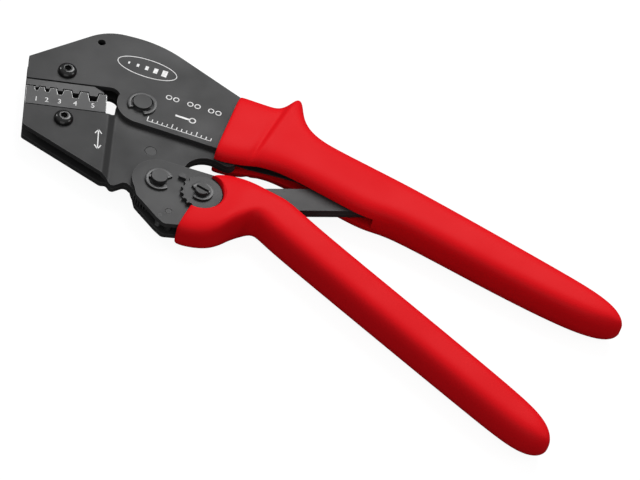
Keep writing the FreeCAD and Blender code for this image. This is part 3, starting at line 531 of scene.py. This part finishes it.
def helix_points(start, end, radius, turns, tail=0.0):
    """Points of a coil between two places, with straight tails at both ends."""
    run = end - start
    length = run.length
    turn = run.to_track_quat("Z", "Y")
    steps = turns * POINTS_PER_TURN
    points = [start] if tail else []
    for i in range(steps + 1):
        angle = 2 * math.pi * turns * i / steps
        along = tail + (length - 2 * tail) * i / steps
        offset = Vector((radius * math.cos(angle), radius * math.sin(angle), along))
        points.append(start + turn @ offset)
    if tail:
        points.append(end)
    return points


def wire(name, points, gauge, material, body, cad_node):
    """A round wire through points, made a mesh."""
    line = bpy.data.curves.new(name + "_line", "CURVE")
    line.dimensions = "3D"
    line.bevel_depth = gauge / 2
    line.bevel_resolution = 3
    line.use_fill_caps = True
    spline = line.splines.new("POLY")
    spline.points.add(len(points) - 1)
    for point, place in zip(spline.points, points):
        point.co = (*place, 1)
    mesh = solid_mesh(added(name + "_line", line))
    shape = bmesh.new()
    shape.from_mesh(mesh)
    bpy.data.meshes.remove(mesh)
    bmesh.ops.remove_doubles(shape, verts=shape.verts, dist=0.001 * MM)
    return object_from(shape, name, material, body, [cad_node], sharp_degrees=60)


spring_foot = at(42.9, 0.6)
spring_head = at(46.9, 17.0)
opening_coil = wire("opening_spring_coil",
                    helix_points(spring_foot, spring_head, radius=1.45 * MM, turns=13,
                                 tail=1.2 * MM),
                    0.6 * MM, spring_wire, "frame", "opening_spring")
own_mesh(opening_coil)

post = at(34.3, -44.6)
half_coil = Vector((0, 0, 1.5 * MM))
pawl_coil_points = helix_points(post - half_coil, post + half_coil, radius=1.0 * MM, turns=5)
pawl_coil_points.append(post + Vector((2.1, -1.7, 1.5)) * MM)
wire("pawl_spring_coil", pawl_coil_points, 0.4 * MM, spring_wire, "handle", "pawl_spring")
print("two coil springs")

# %% [markdown]
# ## The grips
# Each grip is a moulded plastic sleeve. Its section is a rounded rectangle that changes along the
# handle, so it is lofted: a ring of points at each station between the grip's two edges, and bands
# of faces from ring to ring. A subdivision surface then makes the skin smooth.

# %% Loft a sleeve between two edges
RING = 28
CAP_INSET = 0.6


def section_ring(shape, high, low, half_thick, softness, shrink):
    """A ring of points between two edge points: a rounded rectangle, softness 2 is an ellipse."""
    ring = bmesh.ops.create_circle(shape, segments=RING, radius=1.0, cap_ends=False)["verts"]
    middle = (high + low) / 2
    reach = (high - low) / 2
    for vert in ring:
        across, rise = vert.co.x, vert.co.y
        bulge = 1 / (abs(across) ** softness + abs(rise) ** softness) ** (1 / softness)
        vert.co = middle + reach * (across * bulge * shrink)
        vert.co.z += half_thick * rise * bulge * shrink
    return ring


def ring_edges(ring):
    """The edges that run round a ring of points."""
    members = set(ring)
    return [e for e in {e for v in ring for e in v.link_edges} if set(e.verts) <= members]


def sleeve(stations):
    """A closed skin through stations of (high, low, half thickness, softness, shrink)."""
    shape = bmesh.new()
    rings = [section_ring(shape, at(*high), at(*low), thick * MM, soft, shrink)
             for high, low, thick, soft, shrink in stations]
    for one, other in zip(rings, rings[1:]):
        bmesh.ops.bridge_loops(shape, edges=ring_edges(one) + ring_edges(other))
    for ring in (rings[0], rings[-1]):
        cap = bmesh.ops.contextual_create(shape, geom=ring_edges(ring))["faces"]
        bmesh.ops.inset_region(shape, faces=cap, thickness=CAP_INSET * MM)
    bmesh.ops.recalc_face_normals(shape, faces=shape.faces)
    return shape


def smoothed(shape, name):
    """The shape under a subdivision surface, as a plain mesh."""
    mesh = bpy.data.meshes.new(name + "_cage")
    shape.to_mesh(mesh)
    shape.free()
    holder = added(name + "_cage", mesh)
    layers = holder.modifiers.new("skin", "SUBSURF")
    layers.levels = layers.render_levels = 2
    return solid_mesh(holder)


def cut_away(mesh, cutters, name):
    """The mesh with each cutter's shape taken out of it."""
    holder = added(name + "_blank", mesh)
    tools = []
    for i, cutter in enumerate(cutters):
        tool_mesh = bpy.data.meshes.new(f"{name}_cutter_{i}")
        cutter.to_mesh(tool_mesh)
        cutter.free()
        tool = added(f"{name}_cutter_{i}", tool_mesh)
        cut = holder.modifiers.new(f"cut_{i}", "BOOLEAN")
        cut.operation = "DIFFERENCE"
        cut.solver = "EXACT"
        cut.object = tool
        tools.append(tool)
    result = solid_mesh(holder)
    for tool in tools:
        bpy.data.objects.remove(tool)
    return result


def slab(corners, low, high):
    """A flat cutter with an outline in millimetres, between two levels."""
    shape = bmesh.new()
    face = shape.faces.new([shape.verts.new(at(x, y, low)) for x, y in corners])
    grown = bmesh.ops.extrude_face_region(shape, geom=[face])["geom"]
    raised = [v for v in grown if isinstance(v, bmesh.types.BMVert)]
    bmesh.ops.translate(shape, verts=raised, vec=(0, 0, (high - low) * MM))
    bmesh.ops.recalc_face_normals(shape, faces=shape.faces)
    return shape


def skin_piece(mesh, name, body, node):
    """The finished grip skin as a piece of the tool."""
    shape = bmesh.new()
    shape.from_mesh(mesh)
    bpy.data.meshes.remove(mesh)
    bmesh.ops.remove_doubles(shape, verts=shape.verts, dist=WELD * MM)
    shape.normal_update()
    return object_from(shape, name, red_grip, body, [node], sharp_degrees=42)


print("ready to loft with rings of", RING)

# %% [markdown]
# The fixed handle's grip starts as a broad sleeve over the frame, rises into a thumb guard, and
# narrows to the part that the palm holds. A shallow collar line runs down from the guard. Stations
# close together make a tight turn there, and far apart an easy one. A slot down the middle leaves
# room for the strap.

# %% Upper grip
SLOT_HALF = 2.5
upper_stations = [
    ((29.4, 27.2), (36.0, -5.6), 7.5, 6.0, 0.955),
    ((29.6, 27.3), (36.2, -5.9), 7.8, 6.0, 0.99),
    ((30.5, 27.8), (37.2, -5.9), 7.95, 5.5, 1.0),
    ((35.5, 28.8), (41.5, -4.6), 7.95, 5.5, 1.0),
    ((40.2, 29.9), (44.9, -3.0), 7.9, 5.5, 1.0),
    ((43.8, 31.0), (47.2, -1.9), 7.75, 5.0, 1.0),
    ((46.0, 33.6), (48.4, -1.2), 7.35, 4.6, 1.0),
    ((47.2, 37.4), (49.1, -0.8), 7.15, 4.4, 1.0),
    ((48.1, 40.2), (49.9, -0.3), 7.95, 4.4, 1.0),
    ((49.2, 41.2), (50.8, 0.2), 8.25, 4.4, 1.0),
    ((50.6, 40.7), (52.0, 0.9), 8.1, 4.4, 1.0),
    ((52.4, 38.2), (53.8, 1.7), 7.95, 4.4, 1.0),
    ((55.2, 33.8), (56.6, 2.6), 7.95, 4.4, 1.0),
    ((58.8, 30.2), (60.2, 3.4), 8.05, 4.4, 1.0),
    ((63.2, 27.9), (64.5, 3.8), 8.15, 4.4, 1.0),
    ((69.0, 26.5), (70.0, 3.9), 8.25, 4.3, 1.0),
    ((80.0, 26.6), (80.0, 3.9), 8.25, 4.2, 1.0),
    ((92.0, 26.9), (92.0, 3.8), 8.25, 4.2, 1.0),
    ((99.0, 27.0), (99.0, 4.2), 8.25, 4.2, 1.0),
    ((105.0, 27.0), (105.0, 6.0), 8.25, 4.1, 1.0),
    ((112.0, 26.9), (112.0, 7.0), 8.25, 4.1, 1.0),
    ((128.0, 26.6), (128.0, 7.2), 8.25, 4.0, 1.0),
    ((150.0, 25.8), (150.0, 7.2), 8.25, 4.0, 1.0),
    ((170.0, 25.0), (170.0, 7.6), 8.25, 3.8, 1.0),
    ((186.0, 24.3), (186.0, 8.6), 8.2, 3.5, 1.0),
    ((195.0, 23.0), (195.0, 10.2), 8.0, 3.0, 1.0),
    ((200.4, 20.9), (200.4, 12.2), 7.4, 2.6, 1.0),
    ((203.6, 18.6), (203.6, 14.4), 5.6, 2.2, 1.0),
    ((204.7, 17.2), (204.7, 15.8), 2.6, 2.0, 1.0),
]
strap_slot = slab([(28, -12), (101.5, -12), (101.5, 19), (28, 22)], -SLOT_HALF, SLOT_HALF)
upper_skin = cut_away(smoothed(sleeve(upper_stations), "upper_grip"), [strap_slot], "upper_grip")
upper_grip = skin_piece(upper_skin, "upper_grip_skin", "frame", "upper_grip")
print("upper grip:", len(upper_grip.data.polygons), "faces")

# %% [markdown]
# The moving handle's grip ends in a claw that wraps half way round the adjusting wheel. The head
# is lofted as one full lobe. Two round cutters with flared rims then take out the claw's inside,
# one for the wheel and one that leaves room beside it, so the lip is rounded as a moulded one is.
# A third, flat cutter opens the slot for the plates and the strap.

# %% Lower grip
handle_run = Vector((0.9716, -0.2368))
handle_side = Vector((-handle_run.y, handle_run.x))
handle_start = Vector((70.0, -18.3))


def along_handle(along, across):
    """A point of the moving handle in millimetres: along it, and across it towards the frame."""
    return tuple(handle_start + handle_run * along + handle_side * across)


lower_stations = [
    ((40.9, -15.2), (42.6, -46.3), 6.7, 5.5, 0.97),
    ((41.3, -14.4), (43.0, -47.0), 7.0, 5.5, 0.99),
    ((43.0, -12.7), (45.6, -46.6), 7.15, 5.2, 1.0),
    ((46.5, -10.6), (50.5, -44.6), 7.3, 5.0, 1.0),
    ((51.0, -9.4), (54.6, -41.5), 7.75, 4.8, 1.0),
    ((55.6, -9.0), (57.2, -37.2), 8.25, 4.6, 1.0),
    ((59.6, -9.0), (58.8, -32.4), 8.25, 4.5, 1.0),
    ((63.4, -9.3), (61.0, -28.6), 8.25, 4.4, 1.0),
    (along_handle(-1.5, 9.0), along_handle(-5.0, -6.4), 8.25, 4.2, 1.0),
    (along_handle(4, 8.9), along_handle(2.0, -7.3), 8.25, 4.2, 1.0),
    (along_handle(14, 8.4), along_handle(13, -7.7), 8.25, 4.0, 1.0),
    (along_handle(32, 8.1), along_handle(32, -7.8), 8.25, 3.9, 1.0),
    (along_handle(60, 8.0), along_handle(60, -7.8), 8.25, 3.9, 1.0),
    (along_handle(92, 7.8), along_handle(92, -7.8), 8.25, 3.7, 1.0),
    (along_handle(118, 7.6), along_handle(118, -7.8), 8.2, 3.4, 1.0),
    (along_handle(128, 6.8), along_handle(128, -7.2), 8.0, 3.0, 1.0),
    (along_handle(134, 4.8), along_handle(134, -5.4), 7.2, 2.6, 1.0),
    (along_handle(137.2, 2.2), along_handle(137.2, -2.9), 5.0, 2.2, 1.0),
    (along_handle(138.1, 0.6), along_handle(138.1, -1.2), 2.2, 2.0, 1.0),
]


LIP_LEVEL, LIP_STEPS = 7.3, 6


def claw_cutter(centre, radius, flare):
    """A round cutter whose ends flare out, so that it leaves a rounded lip."""
    shape = bmesh.new()
    half = LIP_LEVEL * MM
    lower_half = [(0.0, -2 * half), (radius + flare, -2 * half)]
    for i in range(LIP_STEPS + 1):
        angle = math.radians(90 * i / LIP_STEPS)
        lower_half.append((radius + flare * (1 - math.sin(angle)),
                           -half + flare * (1 - math.cos(angle))))
    outline = lower_half + [(r, -z) for r, z in reversed(lower_half)]
    verts = [shape.verts.new((centre.x + r, centre.y, centre.z + z)) for r, z in outline]
    line = [shape.edges.new(pair) for pair in zip(verts, verts[1:])]
    bmesh.ops.spin(shape, geom=verts + line, cent=centre, axis=(0, 0, 1),
                   angle=2 * math.pi, steps=72, use_merge=True)
    bmesh.ops.remove_doubles(shape, verts=shape.verts, dist=0.001 * MM)
    bmesh.ops.recalc_face_normals(shape, faces=shape.faces)
    return shape


handle_slot = slab([(34, -40), (34, 0), (82, 0), (80, -9.5), (44.8, -33)], -SLOT_HALF,
                   SLOT_HALF)
wheel_room = claw_cutter(wheel_pivot, 8.5 * MM, 1.1 * MM)
thumb_room = claw_cutter(at(40.8, -24.6), 8.3 * MM, 1.0 * MM)
lower_skin = cut_away(smoothed(sleeve(lower_stations), "lower_grip"),
                      [wheel_room, thumb_room, handle_slot], "lower_grip")
lower_grip = skin_piece(lower_skin, "lower_grip_skin", "handle", "lower_grip")
print("lower grip:", len(lower_grip.data.polygons), "faces")

# %% [markdown]
# ## Printed marks
# Tools carry pad-printed signs. These are plain ones: nest numbers on the die, an oval with squares
# that grow like the nests, a terminal sign, rings and a small scale. Each is a film of paint, so we
# make them as very thin solids on the steel.

# %% Strokes, rings and figures of paint
FILM = 0.03
RING_SIDES = 40


def stroke(shape, start, end, width, top):
    """A straight line of paint between two points in millimetres."""
    start, end = Vector(start), Vector(end)
    run = end - start
    bar = bmesh.ops.create_cube(shape, size=1.0)["verts"]
    bmesh.ops.scale(shape, verts=bar, vec=(run.length * MM, width * MM, FILM * MM))
    bmesh.ops.rotate(shape, verts=bar, cent=(0, 0, 0),
                     matrix=Matrix.Rotation(math.atan2(run.y, run.x), 3, "Z"))
    middle = (start + end) / 2
    place = at(middle.x, middle.y)
    bmesh.ops.translate(shape, verts=bar, vec=(place.x, place.y, top + FILM * MM / 2))


def ring_mark(shape, centre, radius, width, top, long=1.0, turn=0.0):
    """A closed line of paint round a centre, stretched to an oval by long."""
    points = []
    for i in range(RING_SIDES):
        angle = 2 * math.pi * i / RING_SIDES
        flat = Vector((radius * long * math.cos(angle), radius * math.sin(angle)))
        flat.rotate(Matrix.Rotation(turn, 2))
        points.append(Vector(centre) + flat)
    for one, other in zip(points, points[1:] + points[:1]):
        stroke(shape, one, other, width, top)


def figure(shape, text, centre, height, turn, top):
    """A number in paint, taken from Blender's own font."""
    words = bpy.data.curves.new("figure_" + text, "FONT")
    words.body = text
    words.size = height * MM
    words.align_x = "CENTER"
    words.align_y = "CENTER"
    words.extrude = FILM * MM / 2
    mesh = solid_mesh(added("figure_" + text, words))
    place = at(*centre)
    mesh.transform(Matrix.Translation((place.x, place.y, top + FILM * MM / 2))
                   @ Matrix.Rotation(turn, 4, "Z"))
    shape.from_mesh(mesh)
    bpy.data.meshes.remove(mesh)


def on_jaw(along, height):
    """A point in millimetres from the lower seat's inner end, along it and above it."""
    return seat + jaw_along * along + jaw_across * height


NEST_PLACES = (-27.4, -23.3, -18.3, -12.2, -5.3)
FIGURE_LEVEL, FIGURE_HEIGHT = 3.1, 3.3
ARROW_LINE, ARROW_BACK, ARROW_SPREAD = 0.45, 2.0, 1.3
jaw_print = bmesh.new()
for number, along in enumerate(NEST_PLACES, start=1):
    figure(jaw_print, str(number), on_jaw(along, FIGURE_LEVEL), FIGURE_HEIGHT, JAW_TURN, plate_top)
arrow_start, arrow_end = on_jaw(-2.4, -9.0), on_jaw(-2.4, -19.0)
stroke(jaw_print, arrow_start, arrow_end, ARROW_LINE, plate_top)
for tip, way in ((arrow_start, -1), (arrow_end, 1)):
    for side in (-1, 1):
        barb = tip + jaw_across * way * ARROW_BACK + jaw_along * side * ARROW_SPREAD
        stroke(jaw_print, tip, barb, ARROW_LINE, plate_top)
object_from(jaw_print, "jaw_print", white_print, "jaw")
print("jaw marks")

# %% Marks on the frame
MARK_TURN = math.radians(13.6)
mark_along = Vector((math.cos(MARK_TURN), math.sin(MARK_TURN)))
mark_across = Vector((-mark_along.y, mark_along.x))
frame_print = bmesh.new()
badge = Vector((-8.2, 18.1))
SQUARES_FROM, SQUARE_STEP = -7.6, 3.7
ring_mark(frame_print, badge, 4.7, 0.32, plate_top, long=2.6, turn=MARK_TURN)
for k, size in enumerate((1.2, 1.6, 2.1, 2.7, 3.4)):
    spot = badge + mark_along * (SQUARES_FROM + SQUARE_STEP * k)
    stroke(frame_print, spot - mark_across * size / 2, spot + mark_across * size / 2, size * 0.62,
           plate_top)
rings_start = Vector((6.6, 9.9))
for along in (0.0, 3.0, 8.8, 11.8, 17.4, 20.4):
    ring_mark(frame_print, rings_start + mark_along * along, 1.05, 0.42, plate_top)
barrel = Vector((13.4, 3.2))
stroke(frame_print, barrel, barrel + mark_along * 5.6, 0.9, plate_top)
ring_mark(frame_print, barrel + mark_along * 7.0, 1.2, 0.5, plate_top)
scale_foot = Vector((5.9, -6.2))
TICKS, TICK_STEP = 14, 2
LONG_TICK, SHORT_TICK = 2.4, 1.5
scale_end = scale_foot + mark_along * ((TICKS - 1) * TICK_STEP)
stroke(frame_print, scale_foot, scale_end, 0.25, plate_top)
for tick in range(TICKS):
    foot = scale_foot + mark_along * tick * TICK_STEP
    tall = LONG_TICK if tick % 5 == 0 else SHORT_TICK
    stroke(frame_print, foot, foot + mark_across * tall, 0.36, plate_top)
object_from(frame_print, "frame_print", white_print, "frame")
print("frame marks")
